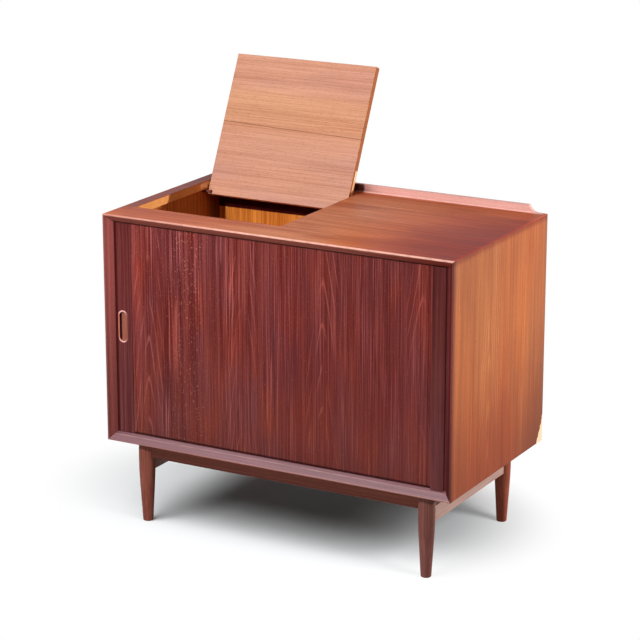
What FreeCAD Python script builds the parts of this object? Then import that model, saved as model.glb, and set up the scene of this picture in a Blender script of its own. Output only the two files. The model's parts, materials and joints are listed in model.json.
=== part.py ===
import FreeCAD, Part
import math
import os

os.makedirs("parts", exist_ok=True)
V = FreeCAD.Vector

# Record cabinet. Millimetres. While it is built, X runs from the left side to the right,
# Y from the front edge to the back and Z up from the floor. The last step moves the
# origin to the middle of the footprint.

# ---- case ----
case_w = 900.0
case_d = 496.5
case_h = 548.5
leg_h = 202.0
board_t = 20.0
case_z0 = leg_h
case_z1 = leg_h + case_h
in_x0 = board_t
in_x1 = case_w - board_t
in_z0 = case_z0 + board_t
in_z1 = case_z1 - board_t

# ---- front edge of the case: an outer facet, a steeper inner facet, a square return ----
nose_y = -0.9
ridge_u = 15.0
ridge_y = 11.0
bevel_y = 17.5
arris_r = 2.0
long_edge_r = 2.0
rear_corner_r = 6.0

# ---- tambour track, measured to the middle of the slats ----
slat_t = 7.0
slat_face_y = 21.0
turn_r = 38.0
groove_w = 6.0
groove_depth = 6.0
track_side_gap = 2.0
track_rear_gap = 11.5
back_run = 343.0
track_y = slat_face_y + slat_t / 2
turn_x = in_x1 - track_side_gap - slat_t - turn_r
turn_y0 = slat_face_y + slat_t + turn_r
turn_y1 = case_d - track_rear_gap - slat_t - turn_r
track_back_x = turn_x - back_run

# ---- tambour slats and canvas ----
slat_pitch = 13.0
slat_w = 12.8
slat_bevel = 0.5
corner_slat_count = 4
tongue_w = 8.0
tongue_t = 5.5
tongue_len = 5.0
slat_end_gap = 0.6
canvas_t = 0.8
canvas_margin = 4.0

# ---- leading stile and its pull ----
stile_gap = 0.4
stile_w = 43.3
stile_face_y = 19.5
stile_t = 16.0
stile_edge_r = 1.0
stile_tongue_x0 = 26.0
stile_tongue_x1 = 50.0
curtain_gap = 0.3
pull_w = 26.0
pull_h = 78.0
pull_x = in_x0 + 19.4
pull_z = case_z0 + 279.0
pull_proud = 1.6
pull_rim = 3.4
pull_cup_depth = 8.0
pull_floor_t = 2.5
pull_step = 2.4
pull_outer_r = 1.3
pull_inner_r = 1.0
pull_cup_r = 3.0

# ---- fixed stile ----
fixed_w = 36.5
fixed_face_y = 13.5
fixed_back_y = 20.5
fixed_x0 = in_x1 - fixed_w
quirk_w = 4.5
quirk_depth = 4.5
fixed_edge_r = 1.0

# ---- lid, described closed and then turned open about its pivot ----
open_x0 = 32.4
open_x1 = 419.8
open_y0 = 95.6
lid_side_gap = 2.0
lid_front_gap = 2.0
lid_t = 16.0
lid_rear_in = 43.3
lid_tail = 26.8
lid_pivot_below = 9.8
lid_lean = 25.4
lid_edge_r = 0.8
swing_gap = 0.9
lid_x0 = open_x0 + lid_side_gap
lid_x1 = open_x1 - lid_side_gap
lid_y0 = open_y0 + lid_front_gap
lid_y1 = case_d - lid_rear_in
pivot_y = lid_y1 - lid_tail
pivot_z = case_z1 - lid_pivot_below
lid_mid_x = (lid_x0 + lid_x1) / 2
swing_r = math.hypot(lid_tail, lid_pivot_below)
open_y1 = pivot_y + swing_r + swing_gap
open_angle = 90.0 + lid_lean

# ---- knife hinges ----
leaf_t = 2.0
lid_leaf_w = 8.0
lid_leaf_inset = 1.5
lid_leaf_len = 73.2
eye_r = 5.0
case_leaf_len = 46.0
pin_r = 2.25
pin_fit = 0.05
pin_short = 0.2
collar_r = 4.0
collar_gap = 0.3
screw_r = 1.5
screw_head_r = 2.7
screw_head_h = 1.4
screw_len = 10.0
lid_screw_back = (22.0, 60.0)
case_screw_back = (16.0, 36.0)

# ---- lid stop and rest ----
peg_r = 4.0
peg_in = 10.0
peg_reach = 26.0
peg_from_tail = 5.0
peg_gap = 0.3
cleat_x_in = 28.0
cleat_under = 19.6
cleat_out = 12.4
cleat_t = 14.0
cleat_gap = 0.3

# ---- rear lip ----
lip_t = 9.5
lip_h = 18.4
lip_end = 10.5
lip_sweep_mid = 22.0
lip_sweep_mid_h = 3.0
lip_sweep_top = 35.0
lip_cove = 3.0
lip_tip_h = 0.6
lip_end_slope = 0.3

# ---- inside ----
inner_gap = 3.5
panel_t = 16.0
housing = 5.0
well_w = 410.0
deck_below = 155.0
lining_in = 25.0
lining_t = 10.0
lining_front_in = 14.0
back_lining_in = 46.5
back_lining_t = 6.0
divider_t = 6.0
divider_count = 4
divider_set_back = 23.0
divider_housing = 4.0
cable_hole_r = 20.0
cable_hole_in = 60.0
back_hole_in = 120.0
inner_y0 = stile_face_y + stile_t + inner_gap
partition_x0 = in_x0 + well_w
partition_x1 = partition_x0 + panel_t
deck_z1 = case_z1 - deck_below
deck_z0 = deck_z1 - panel_t
lining_x0 = in_x1 - lining_in
lining_x1 = lining_x0 + lining_t
lining_y0 = turn_y0 - lining_front_in
back_lining_y0 = case_d - back_lining_in
lining_y1 = back_lining_y0 + back_lining_t

# ---- back panel ----
back_t = 6.0
rebate_depth = 9.0
rebate_u = 8.0
back_y0 = case_d - rebate_depth
back_screw_u = 12.0
back_screw_len = 16.0
back_screws_wide = 5
back_screws_high = 3

# ---- mitre splines ----
spline_w = 12.0
spline_t = 4.0
spline_front_in = 32.0
spline_rear_in = 18.5
spline_y0 = spline_front_in
spline_y1 = case_d - spline_rear_in

# ---- base ----
leg_in_x = 80.0
leg_in_y = 47.2
foot_round = 1.5
leg_foot_r = 12.2
leg_taper_h = 100.0
leg_taper_r = 18.0
leg_crown_h = 150.0
leg_crown_r = 19.5
leg_top_r = 18.6
rail_t = 20.0
rail_h = 40.5
side_rail_h = 37.0
side_rail_drop = 40.5
tenon_t = 9.0
tenon_in = 10.0
tenon_shoulder = 6.0
rail_edge_r = 1.5
base_screw_r = 2.25
base_screw_head_r = 4.5
base_screw_head_h = 3.0
base_screw_sink = 15.0
base_screw_bite = 12.0
base_screw_from_leg = 80.0
base_screw_x = (leg_in_x + base_screw_from_leg, case_w / 2,
                case_w - leg_in_x - base_screw_from_leg)


# ---------------------------------------------------------------- plain shapes
def box(x0, x1, y0, y1, z0, z1):
    return Part.makeBox(x1 - x0, y1 - y0, z1 - z0, V(x0, y0, z0))


def plate(points, along):
    """A closed polygon of vectors pushed along a vector."""
    return Part.Face(Part.makePolygon(list(points) + [points[0]])).extrude(along)


def rod(centre, along, radius, length):
    return Part.makeCylinder(radius, length, centre, along)


def group(shapes):
    return Part.Compound(list(shapes))


def stadium(width, height, x, z, y0, depth):
    """An upright oval with straight sides, standing in XZ and pushed along Y."""
    r = width / 2
    h = height / 2 - r
    a = V(x - r, y0, z - h)
    b = V(x - r, y0, z + h)
    c = V(x + r, y0, z + h)
    d = V(x + r, y0, z - h)
    edges = [Part.makeLine(a, b),
             Part.Arc(b, V(x, y0, z + h + r), c).toShape(),
             Part.makeLine(c, d),
             Part.Arc(d, V(x, y0, z - h - r), a).toShape()]
    return Part.Face(Part.Wire(edges)).extrude(V(0, depth, 0))


def rounded_end_plate(x0, x1, y0, y1, r, z0, z1):
    """A plate in XY whose two right-hand corners are rounded."""
    s = r * math.sqrt(0.5)
    p = [V(x0, y0, z0), V(x1 - r, y0, z0), V(x1, y0 + r, z0),
         V(x1, y1 - r, z0), V(x1 - r, y1, z0), V(x0, y1, z0)]
    m1 = V(x1 - r + s, y0 + r - s, z0)
    m2 = V(x1 - r + s, y1 - r + s, z0)
    edges = [Part.makeLine(p[0], p[1]), Part.Arc(p[1], m1, p[2]).toShape(),
             Part.makeLine(p[2], p[3]), Part.Arc(p[3], m2, p[4]).toShape(),
             Part.makeLine(p[4], p[5]), Part.makeLine(p[5], p[0])]
    return Part.Face(Part.Wire(edges)).extrude(V(0, 0, z1 - z0))


def countersunk(head, along, shank_r, head_r, head_h, length):
    """A wood screw whose flat head lies at the given point and whose body runs along."""
    cone = Part.makeCone(head_r, shank_r, head_h, head, along)
    end = V(head).add(V(along).multiply(head_h))
    return cone.fuse(rod(end, along, shank_r, length - head_h))


# ---------------------------------------------------------------- case boards
def edge_profile(at):
    """Section of a case board: at(u, y) gives the point u below the outer face."""
    return [at(0, nose_y), at(ridge_u, ridge_y), at(board_t, bevel_y),
            at(board_t, case_d), at(0, case_d)]


def case_envelope():
    """The outside of the case: long arrises eased, rear uprights rounded."""
    front = -board_t
    eased = box(0, case_w, front, case_d, case_z0, case_z1)
    along_y = [e for e in eased.Edges
               if abs(e.Vertexes[0].Point.y - e.Vertexes[1].Point.y) > 1]
    eased = eased.makeFillet(long_edge_r, along_y)
    upright = box(0, case_w, front, case_d, case_z0, case_z1)
    corners = [e for e in upright.Edges
               if abs(e.Vertexes[0].Point.z - e.Vertexes[1].Point.z) > 1
               and abs(e.Vertexes[0].Point.y - case_d) < 0.01]
    upright = upright.makeFillet(rear_corner_r, corners)
    return eased.common(upright)


def ease_nose(board, far):
    """Round the sharp front arris, the edge that runs in the plane y = nose_y."""
    edges = [e for e in board.Edges if len(e.Vertexes) == 2
             and all(abs(v.Point.y - nose_y) < 0.01 for v in e.Vertexes)
             and e.Length > far]
    return board.makeFillet(arris_r, edges)


def flat_board(upper):
    """Top or bottom board of the case with mitred ends, outer face up or down."""
    z = case_z1 if upper else case_z0
    into = -1.0 if upper else 1.0
    board = plate(edge_profile(lambda u, y: V(0, y, z + into * u)), V(case_w, 0, 0))
    board = ease_nose(board, case_h)
    mitres = plate([V(0, -board_t, z), V(case_w, -board_t, z),
                    V(in_x1, -board_t, z + into * board_t),
                    V(in_x0, -board_t, z + into * board_t)], V(0, case_d + board_t, 0))
    return board.common(mitres)


def upright_board(right):
    """Side board of the case with mitred ends."""
    x = case_w if right else 0.0
    into = -1.0 if right else 1.0
    board = plate(edge_profile(lambda u, y: V(x + into * u, y, case_z0)), V(0, 0, case_h))
    board = ease_nose(board, case_h / 2)
    mitres = plate([V(x, -board_t, case_z0), V(x, -board_t, case_z1),
                    V(x + into * board_t, -board_t, in_z1),
                    V(x + into * board_t, -board_t, in_z0)], V(0, case_d + board_t, 0))
    return board.common(mitres)


def track_band(z0, z1):
    """The tambour's groove seen from above: front run, two turns, side run, back run."""
    half = groove_w / 2
    outer = rounded_end_plate(-board_t, turn_x + turn_r + slat_t / 2 + half, track_y - half,
                              turn_y1 + turn_r + slat_t / 2 + half,
                              turn_r + slat_t / 2 + half, z0, z1)
    inner = rounded_end_plate(-2 * board_t, turn_x + turn_r + slat_t / 2 - half, track_y + half,
                              turn_y1 + turn_r + slat_t / 2 - half,
                              turn_r + slat_t / 2 - half, z0, z1)
    middle = case_d / 2
    reach = (box(in_x0 + stile_gap, case_w, 0, middle, z0, z1)
             .fuse(box(track_back_x, case_w, middle, case_d, z0, z1)))
    return outer.cut(inner).common(reach)


def back_rebate():
    return box(rebate_u, case_w - rebate_u, back_y0, case_d + board_t,
               case_z0 + rebate_u, case_z1 - rebate_u)


def spline(left, upper):
    """A loose tongue set square across one mitre."""
    x = board_t / 2 if left else case_w - board_t / 2
    z = case_z1 - board_t / 2 if upper else case_z0 + board_t / 2
    piece = Part.makeBox(spline_w, spline_y1 - spline_y0, spline_t,
                         V(-spline_w / 2, spline_y0, -spline_t / 2))
    turn = 45.0 if left == upper else -45.0
    piece.rotate(V(0, 0, 0), V(0, 1, 0), -turn)
    piece.translate(V(x, 0, z))
    return piece


def splines():
    return [spline(left, upper) for left in (True, False) for upper in (True, False)]


# ---------------------------------------------------------------- inside panels
def deck_panel():
    deck = box(in_x0 - housing, partition_x0 + housing, inner_y0, back_y0, deck_z0, deck_z1)
    hole = rod(V(in_x0 + cable_hole_in, back_y0 - cable_hole_in, deck_z0), V(0, 0, 1),
               cable_hole_r, panel_t)
    return deck.cut(hole)


def shelf_panel():
    """Shelf of the right half; only the part behind the turn is housed in the lining."""
    shelf = box(partition_x1 - housing, lining_x0, inner_y0, back_lining_y0, deck_z0, deck_z1)
    tongue = box(lining_x0, lining_x0 + housing, lining_y0, back_lining_y0, deck_z0, deck_z1)
    return shelf.fuse(tongue).removeSplitter()


def partition_panel():
    return box(partition_x0, partition_x1, inner_y0, back_y0, in_z0 - housing, in_z1 + housing)


def side_lining_panel():
    return box(lining_x0, lining_x1, lining_y0, lining_y1, in_z0, in_z1)


def back_lining_panel():
    return box(partition_x1, lining_x0, back_lining_y0, lining_y1, in_z0, in_z1)


def divider_panels():
    bay = (lining_x0 - partition_x1 - divider_count * divider_t) / (divider_count + 1)
    found = []
    for i in range(divider_count):
        x = partition_x1 + bay * (i + 1) + divider_t * i
        found.append(box(x, x + divider_t, inner_y0 + divider_set_back, back_lining_y0,
                         in_z0 - divider_housing, deck_z0 + divider_housing))
    return found


def back_panel_solid():
    panel = box(rebate_u, case_w - rebate_u, back_y0, back_y0 + back_t,
                case_z0 + rebate_u, case_z1 - rebate_u)
    hole = rod(V(in_x0 + back_hole_in, back_y0 - 1, in_z0 + back_hole_in),
               V(0, 1, 0), cable_hole_r, back_t + 2)
    return panel.cut(hole)


def back_screw_places():
    x0, x1 = back_screw_u, case_w - back_screw_u
    z0, z1 = case_z0 + back_screw_u, case_z1 - back_screw_u
    places = []
    for i in range(back_screws_wide):
        x = x0 + (x1 - x0) * (i + 0.5) / back_screws_wide
        places += [(x, z0), (x, z1)]
    for i in range(back_screws_high):
        z = z0 + (z1 - z0) * (i + 0.5) / back_screws_high
        places += [(x0, z), (x1, z)]
    return places


def back_screw_solids():
    return [countersunk(V(x, back_y0 + back_t, z), V(0, -1, 0), screw_r, screw_head_r,
                        screw_head_h, back_screw_len) for x, z in back_screw_places()]


def lip_solid():
    """Rear lip: the front view with swept ends, crossed with the section with its cove."""
    mid = case_w / 2
    sweeps = []
    for side in (1, -1):
        low = V(mid + side * (mid - lip_end), 0, 0)
        tip = V(low.x, 0, lip_tip_h)
        bend = V(mid + side * (mid - lip_end - lip_sweep_mid), 0, lip_sweep_mid_h)
        high = V(mid + side * (mid - lip_end - lip_sweep_top), 0, lip_h)
        curve = Part.BSplineCurve()
        curve.interpolate(Points=[tip, bend, high], InitialTangent=V(-side, 0, 0),
                          FinalTangent=V(-side * lip_end_slope, 0, 1))
        sweeps.append((low, tip, high, curve.toShape()))
    (a, b, c, right_sweep), (d, e, f, left_sweep) = sweeps
    front = Part.Wire([Part.makeLine(a, b), right_sweep, Part.makeLine(c, f), left_sweep,
                       Part.makeLine(e, d), Part.makeLine(d, a)])
    front = Part.Face(front).extrude(V(0, lip_t + lip_cove, 0))
    y1 = lip_t + lip_cove
    s = lip_cove * (1 - math.sqrt(0.5))
    section = Part.Wire([
        Part.makeLine(V(0, y1, 0), V(0, y1, lip_h)),
        Part.makeLine(V(0, y1, lip_h), V(0, lip_cove, lip_h)),
        Part.makeLine(V(0, lip_cove, lip_h), V(0, lip_cove, lip_cove)),
        Part.Arc(V(0, lip_cove, lip_cove), V(0, lip_cove - s, s), V(0, 0, 0)).toShape(),
        Part.makeLine(V(0, 0, 0), V(0, y1, 0))])
    section = Part.Face(section).extrude(V(case_w, 0, 0))
    lip = front.common(section)
    lip.translate(V(0, case_d - y1, case_z1))
    return lip


# ---------------------------------------------------------------- tambour
def slat_at(distance):
    """Centre and heading of a slat's back face, a distance along the track."""
    x0 = in_x0 + stile_gap + stile_w + curtain_gap
    run = turn_x - x0
    y = slat_face_y + slat_t
    if distance <= run:
        return V(x0 + distance, y, 0), 0.0
    angle = (distance - run) / turn_r
    if angle <= math.pi / 2:
        return (V(turn_x + turn_r * math.sin(angle), turn_y0 - turn_r * math.cos(angle), 0),
                math.degrees(angle))
    rest = distance - run - turn_r * math.pi / 2
    return V(turn_x + turn_r, turn_y0 + rest, 0), 90.0


def slat_solid():
    """One slat lying along X with its back on y = 0, front edges bevelled, a tongue each end."""
    h = slat_w / 2
    z0, z1 = in_z0 + slat_end_gap, in_z1 - slat_end_gap
    points = [V(-h, 0, z0), V(-h, -slat_t + slat_bevel, z0), V(-h + slat_bevel, -slat_t, z0),
              V(h - slat_bevel, -slat_t, z0), V(h, -slat_t + slat_bevel, z0), V(h, 0, z0)]
    body = plate(points, V(0, 0, z1 - z0))
    y = -slat_t / 2
    tongue = box(-tongue_w / 2, tongue_w / 2, y - tongue_t / 2, y + tongue_t / 2,
                 in_z0 - tongue_len, in_z1 + tongue_len)
    return body.fuse(tongue).removeSplitter()


def slat_count():
    run = turn_x - (in_x0 + stile_gap + stile_w + curtain_gap)
    return int(run / slat_pitch) + corner_slat_count


def slat_solids():
    pattern = slat_solid()
    found = []
    for i in range(slat_count()):
        centre, heading = slat_at((i + 0.5) * slat_pitch)
        piece = pattern.copy()
        piece.rotate(V(0, 0, 0), V(0, 0, 1), heading)
        piece.translate(centre)
        found.append(piece)
    return found


def canvas_solid():
    """The cloth on the backs of the slats, flat along the front and bent round the turn."""
    z0 = in_z0 + slat_end_gap + canvas_margin
    z1 = in_z1 - slat_end_gap - canvas_margin
    x0 = in_x0 + stile_gap + stile_w + curtain_gap
    y0 = slat_face_y + slat_t
    flat = box(x0, turn_x, y0, y0 + canvas_t, z0, z1)
    total = slat_count() * slat_pitch
    angle = math.degrees(min((total - (turn_x - x0)) / turn_r, math.pi / 2))
    ring = (rod(V(turn_x, turn_y0, z0), V(0, 0, 1), turn_r, z1 - z0)
            .cut(rod(V(turn_x, turn_y0, z0), V(0, 0, 1), turn_r - canvas_t, z1 - z0)))
    wedge = Part.makeCylinder(turn_r * 2, z1 - z0, V(turn_x, turn_y0, z0), V(0, 0, 1), angle)
    wedge.rotate(V(turn_x, turn_y0, 0), V(0, 0, 1), -90.0)
    return flat.fuse(ring.common(wedge)).removeSplitter()


def pull_shell():
    """Outside of the flush pull: a proud oval flange and the cup body behind it."""
    front = stile_face_y - pull_proud
    flange = stadium(pull_w, pull_h, pull_x, pull_z, front, pull_proud)
    rim = [e for e in flange.Edges
           if all(abs(v.Point.y - front) < 0.01 for v in e.Vertexes)]
    flange = flange.makeFillet(pull_outer_r, rim)
    depth = pull_cup_depth + pull_floor_t
    return flange.fuse(stadium(pull_w - 2 * pull_step, pull_h - 2 * pull_step, pull_x, pull_z,
                               front + pull_proud, depth - pull_proud))


def pull_hollow():
    """The finger recess, rounded where its wall meets its floor."""
    front = stile_face_y - pull_proud
    hollow = stadium(pull_w - 2 * pull_rim, pull_h - 2 * pull_rim, pull_x, pull_z,
                     front - 1, pull_cup_depth + 1)
    floor = [e for e in hollow.Edges
             if all(abs(v.Point.y - front - pull_cup_depth) < 0.01 for v in e.Vertexes)]
    return hollow.makeFillet(pull_cup_r, floor)


def pull_solid():
    body = pull_shell().cut(pull_hollow()).removeSplitter()
    front = stile_face_y - pull_proud
    lip = [e for e in body.Edges
           if all(abs(v.Point.y - front) < 0.01 for v in e.Vertexes)
           and e.BoundBox.ZLength < pull_h - 2 * pull_rim + 0.1
           and e.BoundBox.XLength < pull_w - 2 * pull_rim + 0.1]
    inner = [e for e in lip if e.BoundBox.XMax < pull_x + pull_w / 2 - pull_rim + 0.1
             and e.BoundBox.XMin > pull_x - pull_w / 2 + pull_rim - 0.1]
    return body.makeFillet(pull_inner_r, inner)


def stile_solid():
    """The rigid first member of the tambour, with a pocket for the pull."""
    x0 = in_x0 + stile_gap
    body = box(x0, x0 + stile_w, stile_face_y, stile_face_y + stile_t,
               in_z0 + slat_end_gap, in_z1 - slat_end_gap)
    front = [e for e in body.Edges
             if abs(e.Vertexes[0].Point.z - e.Vertexes[1].Point.z) > 1
             and abs(e.Vertexes[0].Point.y - stile_face_y) < 0.01]
    body = body.makeFillet(stile_edge_r, front)
    tongues = box(stile_tongue_x0, stile_tongue_x1, track_y - tongue_t / 2,
                  track_y + tongue_t / 2, in_z0 - tongue_len, in_z1 + tongue_len)
    return body.fuse(tongues).cut(pull_shell()).removeSplitter()


def fixed_stile_solid():
    """The strip that hides the tambour's turn, with a shadow gap along the case side."""
    points = [(fixed_x0, fixed_back_y), (fixed_x0, fixed_face_y),
              (in_x1 - quirk_w, fixed_face_y), (in_x1 - quirk_w, fixed_face_y + quirk_depth),
              (in_x1, fixed_face_y + quirk_depth), (in_x1, fixed_back_y)]
    strip = plate([V(x, y, in_z0) for x, y in points], V(0, 0, in_z1 - in_z0))
    nose = [e for e in strip.Edges
            if abs(e.Vertexes[0].Point.z - e.Vertexes[1].Point.z) > 1
            and abs(e.Vertexes[0].Point.y - fixed_face_y) < 0.01]
    return strip.makeFillet(fixed_edge_r, nose)


# ---------------------------------------------------------------- lid and hinges
def lid_leaf():
    """Right-hand leaf, flush in the lid's edge: a straight arm cranked down to a round eye."""
    arm_top = case_z1 - lid_leaf_inset
    arm = box(lid_x1 - leaf_t, lid_x1, pivot_y - lid_leaf_len, pivot_y,
              arm_top - lid_leaf_w, arm_top)
    eye = rod(V(lid_x1 - leaf_t, pivot_y, pivot_z), V(1, 0, 0), eye_r, leaf_t)
    return arm.fuse(eye).removeSplitter()


def case_leaf():
    """Right-hand leaf, flush in the edge of the opening."""
    arm = box(open_x1, open_x1 + leaf_t, pivot_y - case_leaf_len, pivot_y,
              pivot_z - eye_r, pivot_z + eye_r)
    eye = rod(V(open_x1, pivot_y, pivot_z), V(1, 0, 0), eye_r, leaf_t)
    return arm.fuse(eye).removeSplitter()


def hinge_pin():
    x0 = lid_x1 - leaf_t + pin_short
    pin = rod(V(x0, pivot_y, pivot_z), V(1, 0, 0), pin_r, open_x1 + leaf_t - x0)
    collar = rod(V(lid_x1 + collar_gap, pivot_y, pivot_z), V(1, 0, 0), collar_r,
                 open_x1 - lid_x1 - collar_gap)
    return pin.fuse(collar).removeSplitter()


def pin_bore():
    return rod(V(lid_x1 - leaf_t, pivot_y, pivot_z), V(1, 0, 0), pin_r + pin_fit, leaf_t)


def lid_screws():
    z = case_z1 - lid_leaf_inset - lid_leaf_w / 2
    return [countersunk(V(lid_x1, pivot_y - back, z), V(-1, 0, 0), screw_r, screw_head_r,
                        screw_head_h, screw_len) for back in lid_screw_back]


def case_screws():
    return [countersunk(V(open_x1, pivot_y - back, pivot_z), V(1, 0, 0), screw_r,
                        screw_head_r, screw_head_h, screw_len) for back in case_screw_back]


def both_sides(shape):
    """A right-hand piece and its mirror image about the lid's middle."""
    return [shape, shape.mirror(V(lid_mid_x, 0, 0), V(1, 0, 0))]


def swing_open(shape):
    """Turn a piece of the closed lid to where it stands open."""
    turned = shape.copy()
    turned.rotate(V(0, pivot_y, pivot_z), V(1, 0, 0), -open_angle)
    return turned


def lid_board():
    board = box(lid_x0, lid_x1, lid_y0, lid_y1, case_z1 - lid_t, case_z1)
    return board.makeFillet(lid_edge_r, board.Edges)


def stop_peg():
    """Right-hand peg that the open lid's tail comes to rest on."""
    lean = math.radians(lid_lean)
    up = V(0, math.sin(lean), math.cos(lean))
    out = V(0, -math.cos(lean), math.sin(lean))
    face = V(0, pivot_y, pivot_z).add(V(up).multiply(peg_from_tail - lid_tail))
    face = face.add(V(out).multiply(lid_t - lid_pivot_below))
    centre = face.add(V(out).multiply(peg_r + peg_gap))
    centre.x = partition_x0 - peg_reach
    return rod(centre, V(1, 0, 0), peg_r, peg_reach + peg_in)


def stop_pegs():
    right = stop_peg()
    middle = (in_x0 + partition_x0) / 2
    return [right, right.mirror(V(middle, 0, 0), V(1, 0, 0))]


def rest_cleat():
    """Strip under the front edge of the opening, its rear part raised to carry the lid."""
    x0 = open_x0 + cleat_x_in
    x1 = open_x1 - cleat_x_in
    y1 = open_y0 + cleat_out
    strip = box(x0, x1, open_y0 - cleat_under, y1, in_z1 - cleat_t, in_z1)
    seat = box(x0, x1, open_y0, y1, in_z1, case_z1 - lid_t - cleat_gap)
    return strip.fuse(seat).removeSplitter()


# ---------------------------------------------------------------- base
def leg_outline(x, y):
    """A turned leg: a straight taper, then one long arc that is fullest by the side rail."""
    centre = V(0, 0, 0)
    sole = V(leg_foot_r - foot_round, 0, 0)
    foot = V(leg_foot_r, 0, foot_round)
    shoulder = V(leg_taper_r, 0, leg_taper_h)
    crown = V(leg_crown_r, 0, leg_crown_h)
    rim = V(leg_top_r, 0, leg_h)
    top = V(0, 0, leg_h)
    edges = [Part.makeLine(centre, sole), Part.makeLine(sole, foot),
             Part.makeLine(foot, shoulder), Part.Arc(shoulder, crown, rim).toShape(),
             Part.makeLine(rim, top), Part.makeLine(top, centre)]
    leg = Part.Face(Part.Wire(edges)).revolve(V(0, 0, 0), V(0, 0, 1), 360)
    leg.translate(V(x, y, 0))
    return leg


def leg_axes():
    left, right = leg_in_x, case_w - leg_in_x
    front, rear = leg_in_y, case_d - leg_in_y
    return {"front_left": (left, front), "front_right": (right, front),
            "rear_left": (left, rear), "rear_right": (right, rear)}


def eased_bar(bar):
    """Round the two lower long edges of a rail."""
    low = bar.BoundBox.ZMin
    edges = [e for e in bar.Edges
             if all(abs(v.Point.z - low) < 0.01 for v in e.Vertexes) and e.Length > rail_t * 2]
    return bar.makeFillet(rail_edge_r, edges)


def long_rail(y):
    """Front or rear rail directly under the case, coped to the legs, a tenon at each end."""
    z0 = leg_h - rail_h
    x0, x1 = leg_in_x, case_w - leg_in_x
    bar = eased_bar(box(x0, x1, y - rail_t / 2, y + rail_t / 2, z0, leg_h))
    for x in (x0, x1):
        bar = bar.cut(leg_outline(x, y))
    tenon = box(x0 + tenon_in, x1 - tenon_in, y - tenon_t / 2, y + tenon_t / 2,
                z0 + tenon_shoulder, leg_h - tenon_shoulder)
    return bar.fuse(tenon).removeSplitter()


def side_rail(x):
    """Side rail, one rail height lower, coped to the legs, a tenon at each end."""
    z1 = leg_h - side_rail_drop
    z0 = z1 - side_rail_h
    y0, y1 = leg_in_y, case_d - leg_in_y
    bar = eased_bar(box(x - rail_t / 2, x + rail_t / 2, y0, y1, z0, z1))
    for y in (y0, y1):
        bar = bar.cut(leg_outline(x, y))
    tenon = box(x - tenon_t / 2, x + tenon_t / 2, y0 + tenon_in, y1 - tenon_in,
                z0 + tenon_shoulder, z1 - tenon_shoulder)
    return bar.fuse(tenon).removeSplitter()


def base_screw_sinks(y):
    """Counterbores that open under the rail."""
    return [rod(V(x, y, leg_h - rail_h), V(0, 0, 1), base_screw_head_r, base_screw_sink)
            for x in base_screw_x]


def base_screw_solids(y):
    z = leg_h - rail_h + base_screw_sink
    length = leg_h + base_screw_bite - z
    return [countersunk(V(x, y, z), V(0, 0, 1), base_screw_r, base_screw_head_r,
                        base_screw_head_h, length) for x in base_screw_x]


# ---------------------------------------------------------------- assembly
nodes = {}
envelope = case_envelope()
lines = group(splines())
base_screws = base_screw_solids(leg_in_y) + base_screw_solids(case_d - leg_in_y)
back_screws = back_screw_solids()
pegs = stop_pegs()
partition = partition_panel()
deck = deck_panel()
shelf = shelf_panel()
dividers = divider_panels()
case_leaves = both_sides(case_leaf())
leaf_screws = [s for screw in case_screws() for s in both_sides(screw)]
pins = both_sides(hinge_pin())

top = flat_board(True).common(envelope)
top = top.cut(track_band(in_z1 - 1, in_z1 + groove_depth)).cut(back_rebate()).cut(partition)
top = top.cut(box(open_x0, open_x1, open_y0, open_y1, in_z1 - 1, case_z1 + 1))
for tool in case_leaves + leaf_screws + pins + back_screws:
    top = top.cut(tool)
top = top.cut(lines)

bottom = flat_board(False).common(envelope)
bottom = bottom.cut(track_band(in_z0 - groove_depth, in_z0 + 1)).cut(back_rebate())
for tool in [partition] + dividers + base_screws + back_screws:
    bottom = bottom.cut(tool)
bottom = bottom.cut(lines)

left = upright_board(False).common(envelope).cut(back_rebate()).cut(deck).cut(lines)
right = upright_board(True).common(envelope).cut(back_rebate()).cut(lines)
for tool in back_screws + pegs:
    left = left.cut(tool)
    right = right.cut(tool)
for tool in [deck, shelf] + pegs:
    partition = partition.cut(tool)

back = back_panel_solid()
for tool in back_screws:
    back = back.cut(tool)
for tool in dividers:
    shelf = shelf.cut(tool)

nodes["case_top"] = top
nodes["case_bottom"] = bottom
nodes["case_left_side"] = left
nodes["case_right_side"] = right
nodes["mitre_splines"] = lines
nodes["rear_lip"] = lip_solid()
nodes["back_panel"] = back
nodes["back_screws"] = group(back_screws)
nodes["partition"] = partition
nodes["turntable_deck"] = deck
nodes["record_shelf"] = shelf
nodes["record_dividers"] = group(dividers)
nodes["side_lining"] = side_lining_panel().cut(shelf)
nodes["back_lining"] = back_lining_panel()

nodes["tambour_slats"] = group(slat_solids())
nodes["tambour_canvas"] = canvas_solid()
nodes["door_stile"] = stile_solid()
nodes["door_pull"] = pull_solid()
nodes["fixed_stile"] = fixed_stile_solid()

lid_tools = both_sides(lid_leaf().cut(pin_bore()))
lid_screw_set = [s for screw in lid_screws() for s in both_sides(screw)]
lid = lid_board()
for tool in both_sides(lid_leaf()) + lid_screw_set:
    lid = lid.cut(tool)
lid_leaf_set = []
for leaf in lid_tools:
    for screw in lid_screw_set:
        leaf = leaf.cut(screw)
    lid_leaf_set.append(leaf)
case_leaf_set = []
for leaf in case_leaves:
    for tool in leaf_screws + pins:
        leaf = leaf.cut(tool)
    case_leaf_set.append(leaf)
nodes["lid_panel"] = swing_open(lid)
nodes["lid_hinge_leaves"] = swing_open(group(lid_leaf_set))
nodes["lid_hinge_screws"] = swing_open(group(lid_screw_set))
nodes["case_hinge_leaves"] = group(case_leaf_set)
nodes["case_hinge_screws"] = group(leaf_screws)
nodes["hinge_pins"] = group(pins)
nodes["lid_stop_pegs"] = group(pegs)
nodes["lid_rest_cleat"] = rest_cleat()

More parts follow.
